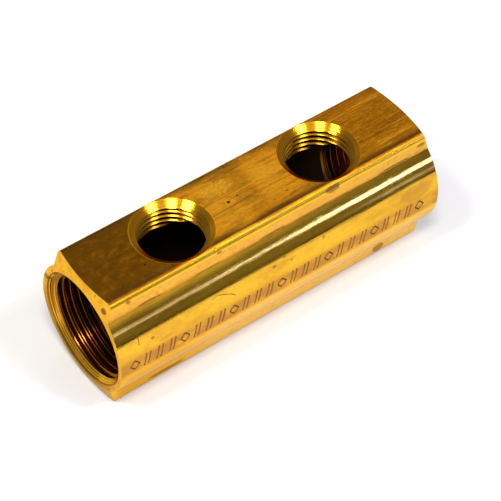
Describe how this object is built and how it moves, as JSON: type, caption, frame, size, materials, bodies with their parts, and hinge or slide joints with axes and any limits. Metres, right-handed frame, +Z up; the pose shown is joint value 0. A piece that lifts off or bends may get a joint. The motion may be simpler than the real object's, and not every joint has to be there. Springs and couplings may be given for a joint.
{
  "type": "pipe manifold bar",
  "caption": "Brass distribution manifold bar with side lobes, a threaded main bore open at both ends and countersunk threaded branch ports in the top flat.",
  "frame": {"origin": "centre of the bottom flat, halfway along the bar", "axes": "+X along the main bore, +Z up out of the branch ports, +Y across the bar"},
  "size_m": [0.11, 0.0378, 0.0414],
  "materials": {
    "brass": "extruded and machined brass, satin with brown tarnish on the flats"
  },
  "bodies": {
    "root": {"manifold_body": "brass"}
  },
  "joints": []
}
